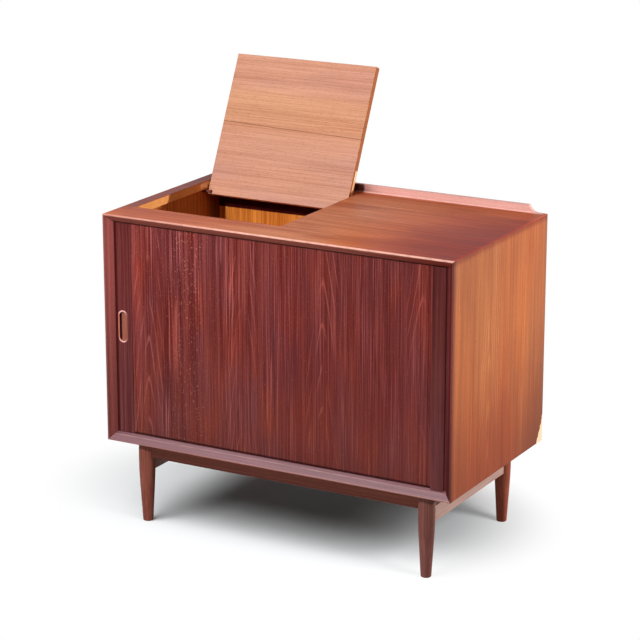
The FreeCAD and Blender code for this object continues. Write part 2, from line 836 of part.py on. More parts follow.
rails = {"front_rail": long_rail(leg_in_y), "rear_rail": long_rail(case_d - leg_in_y)}
for name, y in (("front_rail", leg_in_y), ("rear_rail", case_d - leg_in_y)):
    for tool in base_screw_sinks(y) + base_screw_solids(y):
        rails[name] = rails[name].cut(tool)
rails["side_rail_left"] = side_rail(leg_in_x)
rails["side_rail_right"] = side_rail(case_w - leg_in_x)
for place, (x, y) in leg_axes().items():
    leg = leg_outline(x, y)
    for rail in rails.values():
        leg = leg.cut(rail)
    nodes["leg_" + place] = leg
nodes.update(rails)
nodes["base_screws"] = group(base_screws)

# the origin goes to the middle of the footprint of the whole piece, on the floor
whole = FreeCAD.BoundBox()
for shape in nodes.values():
    whole.add(shape.BoundBox)
shift = V(-(whole.XMin + whole.XMax) / 2, -(whole.YMin + whole.YMax) / 2, -whole.ZMin)
for name, shape in nodes.items():
    shape.translate(shift)
    shape.exportStep("parts/" + name + ".step")
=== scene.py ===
"""Looks for a record cabinet: veneers, tambour curtain, light and camera around the CAD frame."""

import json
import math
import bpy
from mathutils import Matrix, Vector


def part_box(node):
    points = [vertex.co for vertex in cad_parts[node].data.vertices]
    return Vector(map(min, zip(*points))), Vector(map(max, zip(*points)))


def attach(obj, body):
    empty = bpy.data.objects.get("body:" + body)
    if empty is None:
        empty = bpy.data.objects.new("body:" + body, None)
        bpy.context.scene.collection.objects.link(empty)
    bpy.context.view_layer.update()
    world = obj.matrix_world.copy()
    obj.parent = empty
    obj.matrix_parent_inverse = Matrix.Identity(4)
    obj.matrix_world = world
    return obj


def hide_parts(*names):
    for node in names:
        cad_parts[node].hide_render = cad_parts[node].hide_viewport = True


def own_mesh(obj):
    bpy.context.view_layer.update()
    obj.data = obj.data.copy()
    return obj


bl_info = {
    "name": "Record cabinet looks",
    "version": (1, 0, 0),
    "blender": (4, 5, 0),
    "location": "View3D > Sidebar > Cabinet",
    "description": "Dresses a record cabinet with wood, metal and cloth and lights it in a studio",
    "category": "Object",
}

import bmesh
import bpy
from bpy.props import FloatProperty, FloatVectorProperty, PointerProperty
from mathutils import Vector

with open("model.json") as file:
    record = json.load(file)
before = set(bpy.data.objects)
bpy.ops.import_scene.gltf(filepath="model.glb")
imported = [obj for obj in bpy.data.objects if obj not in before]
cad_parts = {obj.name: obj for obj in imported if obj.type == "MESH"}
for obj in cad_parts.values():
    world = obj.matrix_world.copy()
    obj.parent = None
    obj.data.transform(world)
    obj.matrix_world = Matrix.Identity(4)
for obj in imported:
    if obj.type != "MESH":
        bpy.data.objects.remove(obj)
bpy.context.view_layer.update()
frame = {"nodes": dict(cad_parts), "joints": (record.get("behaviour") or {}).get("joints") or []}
NODES = frame["nodes"]
JOINTS = {joint["name"]: joint for joint in frame["joints"]}
LID_LEAN = math.radians(JOINTS["lid_hinge"]["range_deg"][1] - 90.0)
LEGS = ("leg_front_left", "leg_front_right", "leg_rear_left", "leg_rear_right")
BASE = LEGS + ("front_rail", "rear_rail", "side_rail_left", "side_rail_right")

# The case from its lowest to its highest corner, and bounds of its faces, in metres.
CASE_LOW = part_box("case_left_side")[0]
CASE_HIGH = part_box("case_right_side")[1]
FACE = 0.0009        # an outer face lies within this of the case's box
BOARD = 0.0202       # an inner face lies beyond this from the case's box
LIPPING = 0.025      # depth of the bevelled lipping round the front
RIDGE = 0.0160       # from the case's box in to the ridge of the bevel
FACETS = 0.0195      # depth of the steep facets inside the ridge
SPECK_BAND = -0.235  # where across a board its specks gather

# The tambour, in metres.
SLAT_COUNT = 63
TURN_FIT = 0.985     # share of their width that slats keep in the turn, so that none touch
TONGUE = 0.0056      # length of a slat's tongue, which its groove hides
TRACK_CLEAR = 0.009  # from the right side to the canvas side of the slats after the turn
CANVAS_THICK = 0.0007
CANVAS_GAP = 0.0001  # between the canvas and the slats, so that their faces don't flicker
CANVAS_TURN = math.radians(78.0)     # how far round the turn the canvas reaches
CANVAS_STEPS = (24, 12)              # its strips along the front and round the turn

# The studio, in metres.
MIDDLE = Vector((0.0, 0.0, 0.5))
FOOT = Vector((0.0, 0.0, 0.0))
MID_LEG = Vector((0.0, 0.0, 0.12))
FLOOR_RADIUS = 2.2
KEY_DISTANCE, KEY_SIZE = 3.6, 0.18
# name: (direction of the lamp, its distance, its diameter, the point it faces)
LAMPS = {
    "side": ((0.838, 0.491, 0.165), 2.89, 0.05, MIDDLE),
    "overhead": ((-0.50, -0.40, 0.76), 2.8, 1.6, MIDDLE),
    "fill": ((0.75, -0.50, 0.60), 2.6, 1.2, MIDDLE),
    "floor light": ((-0.29, -0.59, 0.80), 3.2, 2.4, FOOT),
    "floor side light": ((0.95, -0.15, 0.55), 2.6, 1.2, FOOT),
    "low light": ((0.10, -0.98, 0.05), 2.6, 0.8, MID_LEG),
}
EYE = Vector((2.6295, -4.8120, 2.0688))
EYE_YAW = math.radians(28.98)
EYE_PITCH = math.radians(16.10)
LENS, SENSOR = 136.95, 36.0
WHITE = (1.0, 1.0, 1.0, 1.0)


# -------------------- settings
def colour(name, description, default):
    """A setting that holds a colour."""
    return FloatVectorProperty(name=name, description=description, default=default,
                               subtype="COLOR", size=3, min=0.0, max=1.0)


def length(name, description, default):
    """A setting that holds a length in metres."""
    return FloatProperty(name=name, description=description, default=default,
                         unit="LENGTH", subtype="DISTANCE", precision=4)


def power(name, description, default):
    """A setting that holds a lamp's power in watts."""
    return FloatProperty(name=name, description=description, default=default, unit="POWER")


def angle(name, description, degrees):
    """A setting that holds an angle."""
    return FloatProperty(name=name, description=description, default=math.radians(degrees),
                         subtype="ANGLE", unit="ROTATION")


# name: (label, what it is the wood of, tone of its early wood, tone of its late wood)
WOODS = {
    "top": ("Top", "the top's veneer", (0.56, 0.135, 0.043), (0.37, 0.068, 0.022)),
    "side": ("Side", "the side veneer", (0.43, 0.132, 0.038), (0.285, 0.068, 0.018)),
    "door": ("Door", "the tambour's veneer", (0.222, 0.046, 0.040), (0.080, 0.009, 0.0095)),
    "lipping": ("Lipping", "the sides' front edges", (0.285, 0.074, 0.064),
                (0.165, 0.034, 0.031)),
    "head": ("Head", "the top's front edge", (0.300, 0.081, 0.055), (0.173, 0.035, 0.0265)),
    # The sill's pinkish grey is the wood's colour with a painted sheen in it.
    "sill": ("Sill", "the bottom's front edge", (0.240, 0.104, 0.120), (0.160, 0.060, 0.070)),
    "end": ("Top's end", "the arris at the top's right end", (0.76, 0.19, 0.085),
            (0.64, 0.145, 0.068)),
    "cut": ("Cut edge", "the edges of the top's opening", (0.98, 0.50, 0.15),
            (0.84, 0.36, 0.09)),
    "lid": ("Lid", "the lid's underside", (0.69, 0.345, 0.230), (0.47, 0.195, 0.115)),
    "inner": ("Inside", "the inner panels", (0.72, 0.23, 0.050), (0.44, 0.105, 0.018)),
    "frame": ("Legs", "the legs and long rails", (0.27, 0.083, 0.056), (0.145, 0.038, 0.026)),
    "rail": ("Side rail", "the side rails", (0.485, 0.308, 0.254), (0.288, 0.159, 0.127)),
    # The lip's pale pink is the wood's colour with a painted sheen in it.
    "lip": ("Lip", "the rear lip", (0.92, 0.56, 0.50), (0.72, 0.36, 0.31)),
    "pull": ("Pull", "the pull", (0.50, 0.165, 0.110), (0.24, 0.06, 0.042)),
    "raw": ("Bare wood", "the unfinished pieces", (0.80, 0.56, 0.36), (0.58, 0.34, 0.18)),
}


class CabinetColours(bpy.types.PropertyGroup):
    """The finishes; the pale and deep tones of each wood are added below."""

    strip: colour("Rear strip", "Solid wood along the rear edge of a side", (0.36, 0.125, 0.055))
    under: colour("Underside", "Unfinished underside of the case", (0.14, 0.12, 0.105))
    # A painted shadow line beside the ridge of the right bevel.
    seam: colour("Seam", "Painted shadow line beside the ridge of the right bevel",
                 (0.085, 0.006, 0.007))
    # A painted highlight along the front arris.
    arris_highlight: colour("Arris highlight", "Painted highlight along the front arris", (0.90, 0.455, 0.365))
    dust: colour("Specks", "Specks of dust in the finish", (0.62, 0.30, 0.18))
    metal: colour("Hinge metal", "Dulled brass of the knife hinges", (0.78, 0.48, 0.24))
    screw: colour("Screw steel", "Plated steel of the screws", (0.55, 0.53, 0.50))
    cloth: colour("Canvas", "Backing cloth of the tambour", (0.22, 0.17, 0.11))
    floor: colour("Floor", "Studio floor", (0.78, 0.80, 0.81))


for wood_name, (label, owner, early, late) in WOODS.items():
    CabinetColours.__annotations__.update({
        f"{wood_name}_pale": colour(f"{label}, pale", f"Early wood of {owner}", early),
        f"{wood_name}_deep": colour(f"{label}, deep", f"Late wood of {owner}", late)})


class CabinetSizes(bpy.types.PropertyGroup):
    """Sizes of the slats that are made here, and of the veneer's figure."""

    slat_pitch: length("Slat pitch", "Distance between tambour slats", 0.013)
    slat_gap: length("Slat gap", "Width of the joint between two slats", 0.00006)
    slat_ease: length("Slat ease", "Bevel on the front edges of a slat", 0.00012)
    slat_thickness: length("Slat thickness", "Thickness of a tambour slat", 0.007)
    turn_radius: length("Turn radius", "Radius of the track behind the slats", 0.038)
    ring_pitch: length("Ring pitch", "Distance between growth lines across the grain", 0.010)
    ring_reach: length("Ring reach", "Distance between two arches along the grain", 0.108)
    edge_soften: length("Edge softening", "Radius by which sharp wood edges catch light", 0.0007)


class CabinetLights(bpy.types.PropertyGroup):
    """The studio."""

    key_power: power("Key power", "Front light", 105.0)
    side_power: power("Side power", "Light from the right", 85.0)
    fill_power: power("Fill power", "Soft light from the right front", 7.0)
    top_power: power("Overhead power", "Soft light from above", 20.0)
    floor_power: power("Floor light power", "Soft light on the floor from the left front", 99.0)
    floor_side_power: power("Floor side light power", "Soft light on the floor from the right",
                            47.52)
    base_power: power("Low light power", "Soft light on the legs and rails", 10.0)
    sky: FloatProperty(name="Surroundings", description="Even light from all round",
                       default=0.06, min=0.0)
    key_azimuth: angle("Key direction", "Angle left of the front", 10.0)
    key_elevation: angle("Key height", "Angle above the floor", 31.0)


# -------------------- shader expressions
class Wire:
    """A shader socket that can stand in a Python expression."""

    def __init__(self, graph, socket):
        self.graph = graph
        self.socket = socket

    def math(self, operation, a, b=0.0):
        """A maths node on two numbers."""
        return self.graph.node("ShaderNodeMath", {"operation": operation}, {0: a, 1: b})

    def __add__(self, other):
        return self.math("ADD", self, other)

    __radd__ = __add__

    def __sub__(self, other):
        return self.math("SUBTRACT", self, other)

    def __rsub__(self, other):
        return self.math("SUBTRACT", other, self)

    def __mul__(self, other):
        return self.math("MULTIPLY", self, other)

    __rmul__ = __mul__

    def __truediv__(self, other):
        return self.math("DIVIDE", self, other)

    def __pow__(self, other):
        return self.math("POWER", self, other)

    def __gt__(self, other):
        return self.math("GREATER_THAN", self, other)

    def __lt__(self, other):
        return self.math("LESS_THAN", self, other)

    def sine(self):
        return self.math("SINE", self)

    def root(self):
        return self.math("SQRT", self)

    def size(self):
        """How far from zero, on either side."""
        return (self * self).root()

    def ramp(self, low, high):
        """0 below low, 1 above high, smooth between."""
        return self.graph.node("ShaderNodeMapRange", {"interpolation_type": "SMOOTHSTEP"},
                               {"Value": self, "From Min": low, "From Max": high})

    def fall(self, low, high):
        """1 below low, 0 above high, smooth between."""
        return 1.0 - self.ramp(low, high)


class Graph:
    """The node tree of a new material, or of a world."""

    def __init__(self, owner):
        if isinstance(owner, str):
            owner = bpy.data.materials.new(owner)
            owner.use_nodes = True
        self.material = owner
        self.tree = owner.node_tree
        self.tree.nodes.clear()
        self.place = self.node("ShaderNodeTexCoord", {}, {}, "Object")

    def node(self, kind, settings, inputs, output=0):
        """Add a node, link or fill its inputs and give back one of its outputs."""
        made = self.tree.nodes.new(kind)
        for key, value in settings.items():
            setattr(made, key, value)
        for key, value in inputs.items():
            socket = made.inputs[key]
            if isinstance(value, Wire):
                self.tree.links.new(value.socket, socket)
            else:
                socket.default_value = value
        return None if output is None else Wire(self, made.outputs[output])

    def axes(self, vector=None):
        """The x, y and z of a vector, or of the place on the object."""
        vector = vector or self.place
        return [self.node("ShaderNodeSeparateXYZ", {}, {0: vector}, i) for i in range(3)]

    def vector(self, x, y, z):
        """Three numbers as one vector."""
        return self.node("ShaderNodeCombineXYZ", {}, {0: x, 1: y, 2: z})

    def noise(self, vector, scale, detail=2.0, roughness=0.5):
        """Cloudy noise between 0 and 1."""
        return self.node("ShaderNodeTexNoise", {},
                         {"Vector": vector, "Scale": scale, "Detail": detail,
                          "Roughness": roughness}, "Fac")

    def blend(self, factor, a, b, mode="MIX"):
        """a below, b as far over it as factor says; each a wire or a colour."""
        a, b = (tone if isinstance(tone, Wire) else (*tone, 1.0) for tone in (a, b))
        return self.node("ShaderNodeMix", {"data_type": "RGBA", "blend_type": mode},
                         {0: factor, 6: a, 7: b}, 2)

    # Used for the wood's own tones and for painted light and shade alike.
    def multiply_tone(self, factor, base, tone):
        """base multiplied by a tone, as far as factor says."""
        return self.blend(factor, base, tone, "MULTIPLY")

    def deepen(self, factor, base, depth):
        """base multiplied by a number, as far as factor says."""
        return self.multiply_tone(factor, base, self.vector(depth, depth, depth))

    def bump(self, height, distance, strength=1.0, normal=None):
        """A normal that follows a height."""
        inputs = {"Height": height, "Distance": distance, "Strength": strength}
        if normal:
            inputs["Normal"] = normal
        return self.node("ShaderNodeBump", {}, inputs)

    def surface(self, inputs):
        """Give the material a surface with these inputs."""
        shader = self.node("ShaderNodeBsdfPrincipled", {}, inputs)
        self.node("ShaderNodeOutputMaterial", {}, {"Surface": shader}, None)
        return self.material


def scaled(tone, share, rise=0.0):
    """A tone made deeper or paler."""
    return [min(1.0, c * share + rise) for c in tone]


def pair(name, share=1.0):
    """The pale and the deep tone of a wood, made deeper or paler by a share."""
    tones = bpy.context.scene.cabinet_colours
    return [scaled(getattr(tones, f"{name}_{tone}"), share) for tone in ("pale", "deep")]


def dress(material, *names):
    """Give CAD nodes a material."""
    for name in names:
        slots = NODES[name].data.materials
        slots.clear()
        slots.append(material)


# -------------------- wood
class Board(Graph):
    """The node tree of a wood, with the distances along, across and into its board.

    grain is X, Y or Z for the axis along which the grain runs, X_up for grain along X in an
    upright board, and Z_deep for grain along Z in a board that stands from front to rear.
    """

    def __init__(self, name, grain, seed, leaves, place):
        super().__init__(name)
        x, y, z = self.axes(place(self) if place else None)
        self.along, self.across, self.depth = {
            "X": (x, y, z), "Y": (y, x, z), "Z": (z, x, y),
            "X_up": (x, z, y), "Z_deep": (z, y, x)}[grain]
        self.seed = seed
        self.shift = self.across * 0.0 + seed
        heart = leaves[0][1]
        self.middle = self.across * 0.0 + heart
        for seam, centre in leaves[1:]:
            beyond = self.across > seam
            self.middle = self.middle + beyond * (centre - heart)
            self.shift = self.shift + beyond * 7.3
            heart = centre

    def grainy(self, lengthwise, crosswise, detail=2.0, roughness=0.5):
        """Noise drawn out along the grain, with so many cells to the metre each way."""
        spot = self.vector(self.along * lengthwise + self.shift, self.across * crosswise,
                           self.depth * crosswise + self.seed)
        return self.noise(spot, 1.0, detail, roughness)


def growth_lines(board, sway, arch, narrow, sharp, waver, spread):
    """Late wood in arches round each leaf's heart, 0 to 1."""
    sizes = bpy.context.scene.cabinet_sizes
    lean = board.across - board.middle + (sway - 0.5) * 0.018
    reach = (lean * lean + 0.00006).root()
    rings = (reach / (sizes.ring_pitch * spread) + board.along * (arch / sizes.ring_reach)
             + (board.grainy(12.0, 70.0) - 0.5) * waver)
    lines = ((rings * (2.0 * math.pi)).sine() * 0.5 + 0.5) ** sharp
    lines = lines * board.grainy(5.0, 38.0, 1.0).ramp(0.42, 0.66)
    return lines * reach.fall(narrow * 0.6, narrow) if narrow else lines


def clouded(board, base, lines, pale, flush, hairs, mauve, blotch):
    """Warm flushes, thin pale hairs, a cool veil and darker clouds, each where wanted."""
    if flush:
        glow = board.grainy(1.7, 8.0, 3.0).ramp(0.42, 0.68)
        base = board.multiply_tone(glow * flush, base, (1.25, 0.95, 0.70))
    if hairs:
        thin = (board.grainy(4.0, 480.0, 1.0).ramp(0.56, 0.66)
                * board.grainy(2.5, 30.0, 1.0).ramp(0.25, 0.60) + lines * 0.6)
        base = board.blend(thin * hairs, base, scaled(pale, 2.0, 0.03))
    if mauve:
        veil = board.grainy(2.6, 9.0, 2.0).ramp(0.48, 0.66)
        base = board.multiply_tone(veil * mauve, base, (0.86, 0.88, 1.12))
    if blotch:
        cloud = board.grainy(6.0, 11.0, 3.0).ramp(0.45, 0.66)
        base = board.multiply_tone(cloud * blotch, base, (0.70, 0.56, 0.54))
    return base


def dark_streaks(board, base, streaks):
    """Single dark growth lines, each (height, slope, width, strength)."""
    for height, slope, width, strength in streaks:
        gap = board.across - height - board.along * slope + (board.grainy(5.0, 3.0) - 0.5) * 0.007
        line = gap.size().fall(width * 0.3, width)
        broken = board.grainy(5.0, 40.0).ramp(0.30, 0.55)
        base = board.multiply_tone(line * broken * strength, base, (0.30, 0.20, 0.16))
    return base


def dusty(board, base, specks):
    """Fine specks, most of them gathered in one band along the grain."""
    spot = board.vector(board.along * 330.0, board.across * 520.0 + board.shift,
                        board.depth * 520.0)
    band = 0.25 + (board.across - SPECK_BAND).size().fall(0.010, 0.060) * 0.75
    dust = board.noise(spot, 1.0, 0.0).ramp(0.74, 0.80)
    return board.blend(dust * band * specks, base, bpy.context.scene.cabinet_colours.dust)


def rubbed_edges(board, base, pale, edge):
    """Finish rubbed thin along sharp edges; edge is the normal softened there."""
    flat = board.node("ShaderNodeNewGeometry", {}, {}, "Normal")
    turned = board.node("ShaderNodeVectorMath", {"operation": "DOT_PRODUCT"},
                        {0: edge, 1: flat}, "Value")
    rubbed = (1.0 - turned).ramp(0.01, 0.12) * board.noise(board.place, 45.0).ramp(0.35, 0.65)
    return board.blend(rubbed * 0.35, base, scaled(pale, 1.25, 0.04))


def wood(name, tones, grain, heart=0.0, seed=0.0, place=None, leaves=None,
         figure=0.5, arch=1.0, narrow=None, sharp=3.0, waver=0.9, spread=1.0,
         tint=0.25, fine=0.5, stripe=0.0, flush=0.0, hairs=0.0, mauve=0.0, blotch=0.0,
         dash=(0.013, 0.0007, 0.35), streaks=(), specks=0.0, zones=(), patch=None,
         rough=0.45, coat=None):
    """Veneer or solid wood in its pale and its deep tone.

    place gives the point that the grain follows, heart says where across the board the
    arches of the growth lines stand, and leaves are (seam, heart) pairs where a face is
    laid from several veneers. figure is how strongly the growth lines show, arch how soon
    they close into arches, narrow how far from the heart they reach, sharp how thin, waver
    how unsteady and spread how wide apart they are. tint is how much broad bands
    differ, fine how strong the fibres are and stripe the ribbons that a few fibres make.
    flush is how warm some patches glow, hairs how strong thin pale streaks are, mauve a
    cool veil and blotch darker clouds. dash is the length, width and strength of the
    pores, streaks are dark growth lines and specks is how strong the dust is. zones are
    (mask, pale, deep) triples where the board shows another wood, a few of them painted
    shade, and patch changes the colour last, in some places with painted light and shade.
    rough is the roughness, and coat a mask of where varnish shines.
    """
    pale, deep = tones
    board = Board(name, grain, seed, leaves or ((None, heart),), place)
    sway = board.grainy(2.2, 9.0)
    lines = growth_lines(board, sway, arch, narrow, sharp, waver, spread)
    fibres = board.grainy(11.0, 700.0, 3.0, 0.65)
    threads = board.grainy(2.2, 390.0, 3.0, 0.65)
    bands = board.grainy(0.9, 13.0)
    mix = (bands.ramp(0.32, 0.68) * tint + lines * figure + (threads - 0.5) * (fine * 1.7)
           + (fibres - 0.5) * fine + (board.grainy(1.4, 130.0, 2.0) - 0.5) * stripe
           + 0.5 - tint * 0.5 - figure * 0.15).ramp(0.0, 1.0)
    base = board.blend(mix, deep, pale)
    base = clouded(board, base, lines, pale, flush, hairs, mauve, blotch)
    for mask, zone_pale, zone_deep in zones:
        base = board.blend(mask(board), base, board.blend(mix, zone_deep, zone_pale))
    pores = board.grainy(1.0 / dash[0], 1.0 / dash[1], 1.0).ramp(0.58, 0.72)
    base = board.multiply_tone(pores * dash[2], base, (0.42, 0.30, 0.26))
    base = dark_streaks(board, base, streaks)
    if specks:
        base = dusty(board, base, specks)
    if patch:
        base = patch(board, base)
    soften = bpy.context.scene.cabinet_sizes.edge_soften
    edge = board.node("ShaderNodeBevel", {"samples": 4}, {"Radius": soften})
    inputs = {"Base Color": rubbed_edges(board, base, pale, edge),
              "Roughness": rough + (threads - 0.5) * 0.10 + (sway - 0.5) * 0.12,
              "Normal": board.bump(fibres * 0.6 - pores * 0.5, 0.00006, 0.55, edge),
              "Specular IOR Level": 0.08, "Coat Roughness": 0.34}
    if coat:
        inputs["Coat Weight"] = coat(board) * 0.6
    return board.surface(inputs)


# -------------------- where a finish lies
# Masks are 1 where a finish lies and 0 elsewhere. Places are metres in the cabinet's own
# frame: x to the right, y to the rear and z up.
def within(graph, reach, low, high):
    """1 inside a box about the cabinet's middle: |x| < reach, low and high as (y, z)."""
    x, y, z = graph.axes()
    return ((x * x < reach * reach) * (y > low[0]) * (z > low[1]) * (y < high[0])
            * (z < high[1]))


def front_edges(graph):
    """The bevelled lipping round the front of the case."""
    return within(graph, CASE_HIGH.x - FACE, (CASE_LOW.y - 1.0, CASE_LOW.z + FACE),
                  (CASE_LOW.y + LIPPING, CASE_HIGH.z - FACE))


def inner_facets(graph):
    """The steep facets next to the tambour, inside the bevel's ridge."""
    return within(graph, CASE_HIGH.x - RIDGE, (CASE_LOW.y - 1.0, CASE_LOW.z + RIDGE),
                  (CASE_LOW.y + FACETS, CASE_HIGH.z - RIDGE))


def bevel_band(near, far):
    """The band of the right bevel between near and far from the side's outer face."""
    def mask(graph):
        x = graph.axes()[0]
        return front_edges(graph) * (x < CASE_HIGH.x - near) * (x > CASE_HIGH.x - far)
    return mask


def inner_faces(graph):
    """The faces of the top and bottom that look into the case."""
    return within(graph, CASE_HIGH.x - BOARD, (CASE_LOW.y + LIPPING, CASE_LOW.z + BOARD),
                  (CASE_HIGH.y, CASE_HIGH.z - FACE))


def side_inner_faces(graph):
    """The inner faces of the two sides."""
    return within(graph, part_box("case_right_side")[0].x + 0.0002,
                  (CASE_LOW.y + LIPPING, 0.0), (1.0, 2.0))


def left_strip(x):
    """1 on the top's strip along the left of the well, 0 to the right of it."""
    return x.fall(CASE_LOW.x + 0.030, CASE_LOW.x + 0.034)


def top_border(graph):
    """The strip of the top along the left of the well, behind the front border."""
    x, y, _ = graph.axes()
    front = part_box("case_top")[0].y
    return left_strip(x) * y.ramp(front + 0.05, front + 0.12) * 0.85


def top_end(graph):
    """The arris at the right end of the top."""
    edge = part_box("case_top")[1].x
    return graph.axes()[0].ramp(edge - 0.0060, edge - 0.0030)


def opening_edges(graph):
    """The cut edges of the opening in the top."""
    _, y, z = graph.axes()
    low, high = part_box("case_top")
    return (y > low.y + 0.05) * (z > low.z + 0.0005) * (z < high.z - FACE)


def rear_lipping(graph):
    """Solid wood along the rear edge of a side."""
    return graph.axes()[1] > CASE_HIGH.y - 0.019


def underside(graph):
    """The face under the case."""
    return graph.axes()[2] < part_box("case_bottom")[0].z + 0.0006


def lid_ends(graph):
    """The two end grains of the lid."""
    low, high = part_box("lid_panel")
    x = graph.axes()[0]
    return (x > high.x - 0.0007) + (x < low.x + 0.0007)


def lid_outside(graph):
    """The lid's outer face, which lies level with the top when the lid is shut."""
    low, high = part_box("lid_panel")
    _, y, z = graph.axes()
    rise, back = z - (low.z + high.z) / 2, y - (low.y + high.y) / 2
    return (rise * math.sin(LID_LEAN) - back * math.cos(LID_LEAN)) < -0.0068


def pull_rim(graph):
    """The rounded rim that stands proud of the stile."""
    return graph.axes()[1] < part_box("door_stile")[0].y - 0.0001


# -------------------- shades of a finish
# Each takes a board's colour and gives it back with wear, stains, painted light and shade.
def painted_arris_highlight(graph, base, amount=1.0):
    """Painted highlight along the foremost arris of the case, stronger toward the right."""
    x, y, z = graph.axes()
    highlight_breakup = graph.noise(graph.place, 60.0, 3.0)
    on_top = (z > CASE_HIGH.z - 0.0008) * 0.0040
    line = (y - on_top).fall(CASE_LOW.y + 0.0006, CASE_LOW.y + 0.0018)
    mask = line * (highlight_breakup.ramp(0.2, 0.6) * 0.35 + 0.65)
    mask = mask * (0.5 + x.ramp(-0.42, -0.05) * 0.5) * amount
    return graph.blend(mask, base, bpy.context.scene.cabinet_colours.arris_highlight)


def top_shade(graph, base):
    """The top: deeper at its right end and rear left corner; painted sheen at the front middle."""
    x, y, _ = graph.axes()
    face = 1.0 - front_edges(graph)
    depth = (0.92 + x.ramp(-0.35, 0.05) * 0.20
             - x.ramp(0.10, 0.42) * (0.55 - y.ramp(0.0, 0.21) * 0.38))
    base = graph.multiply_tone(face, base, graph.vector(depth, depth ** 2.2, depth ** 2.1))
    rear_left = left_strip(x) * y.ramp(-0.08, 0.16)
    base = graph.multiply_tone(rear_left, base, (0.62, 0.50, 0.44))
    front_right = x.ramp(0.20, 0.42) * y.fall(-0.17, 0.08)
    base = graph.multiply_tone(front_right * 0.9, base, (0.89, 0.55, 0.43))
    base = graph.multiply_tone(x.ramp(0.398, 0.428), base, (0.98, 0.82, 0.76))
    # Painted sheen: a paler, bluer veil over the front middle.
    painted_sheen = x.ramp(-0.24, -0.06) * x.fall(0.04, 0.20) * y.fall(-0.05, 0.2) * face
    base = graph.multiply_tone(painted_sheen, base, (0.98, 1.30, 2.05))
    return painted_arris_highlight(graph, base, 0.95)


def sill_ridge(graph, base):
    """The ridge of the sill with a painted highlight."""
    y = graph.axes()[1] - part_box("case_bottom")[0].y - 0.0100
    highlight_breakup = graph.noise(graph.place, 25.0, 3.0)
    # Painted highlight along the ridge, in the lip's pale tone.
    mask = y.size().fall(0.0003, 0.0016) * (highlight_breakup.ramp(0.3, 0.7) * 0.6 + 0.4)
    base = graph.blend(mask * 0.22, base, bpy.context.scene.cabinet_colours.lip_pale)
    return painted_arris_highlight(graph, base, 0.15)


def left_side_shade(graph, base):
    """Painted shade low down and in the well's corner, a painted highlight by the bevel's ridge.
    """
    x, y, z = graph.axes()
    # Painted shade: the side deeper toward its foot.
    base = graph.deepen(1.0, base, 0.71 + z.ramp(0.25, 0.65) * 0.49)
    # Painted highlight on the bevel toward its ridge.
    glow = 0.90 + x.ramp(CASE_LOW.x + 0.004, CASE_LOW.x + 0.013) * 0.36
    base = graph.deepen(front_edges(graph), base, glow)
    # Painted shadow on the inner face at the well's rear corner.
    rear = y.ramp(0.125, 0.165) * side_inner_faces(graph) * 0.75
    base = graph.blend(rear, base, (0.02, 0.001, 0.0))
    return painted_arris_highlight(graph, base, 0.3)


def right_side_shade(graph, base):
    """Painted shade toward the foot; deeper along the borders, bare at the rear lower corner."""
    low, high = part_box("case_right_side")
    x, y, z = graph.axes()
    # Painted shade: the side deeper toward its foot.
    depth = 0.60 + z.ramp(low.z - 0.02, low.z + 0.34) * 0.48
    fade = y.ramp(0.05, 0.20) * 0.10
    base = graph.multiply_tone(1.0, base,
                       graph.vector(depth - fade, depth ** 1.6, depth ** 1.7 + fade * 1.5))
    rim = (z.ramp(high.z - 0.018, high.z - 0.006) + y.ramp(high.y - 0.010, high.y - 0.002)
           + z.fall(low.z + 0.0005, low.z + 0.0020))
    base = graph.multiply_tone(rim * 0.75, base, (0.72, 0.54, 0.56))
    head = z.ramp(high.z - 0.012, high.z - 0.002)
    base = graph.multiply_tone(head * 0.85, base, (0.80, 0.58, 0.60))
    nose = y.fall(low.y + 0.003, low.y + 0.017) * (x > high.x - 0.0004)
    base = graph.multiply_tone(nose * 0.9, base, (0.50, 0.44, 0.95))
    ragged = graph.noise(graph.place, 90.0, 3.0)
    reach = (y - high.y) * 1.9 - (z - low.z) + (ragged - 0.5) * 0.03 + 0.072
    bare = reach.ramp(0.0, 0.002) * (x > 0.0)
    base = graph.blend(bare, base, bpy.context.scene.cabinet_colours.raw_pale)
    return painted_arris_highlight(graph, base, 0.05)


def behind_lid(graph, base):
    """The lip, with painted shade where the open lid hangs over it."""
    # Painted shade: occlusion by the open lid darkens the lip.
    open_sky = graph.node("ShaderNodeAmbientOcclusion", {"samples": 8}, {"Distance": 0.12},
                          "AO")
    return graph.blend(open_sky.fall(0.22, 0.50), base, (0.04, 0.008, 0.008))


def lining_shade(graph, base):
    """The back panel: golden inside, a painted lid shadow along its gently sloping upper border.
    """
    x, y, z = graph.axes()
    low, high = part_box("back_panel")
    inside = y < (low.y + high.y) / 2
    base = graph.multiply_tone(inside, base, (1.12, 1.30, 1.05))
    # Painted shadow of the lid along the upper border.
    border = (z - (x + 0.2) * 0.008).ramp(0.6712, 0.6730)
    return graph.multiply_tone(inside * border, base, (0.055, 0.008, 0.06))


def lid_bands(graph, base):
    """Golden wood across the middle of the lid, pinker below."""
    z = graph.axes()[2]
    gold = z.ramp(0.845, 0.905) * z.fall(0.945, 0.975)
    base = graph.multiply_tone(gold * 0.65, base, (1.04, 1.06, 0.86))
    return graph.multiply_tone(z.fall(0.80, 0.875) * 0.8, base, (0.95, 1.0, 1.06))


def leg_tones(graph, base):
    """The front right leg is tinted cooler; the rear right leg is made paler with painted light.
    """
    x, y, _ = graph.axes()
    right = x > 0.0
    base = graph.multiply_tone(right * (y < 0.0), base, (0.80, 0.98, 1.16))
    # Painted light on the rear right leg.
    return graph.multiply_tone(right * (y > 0.0), base, (1.58, 1.35, 1.14))


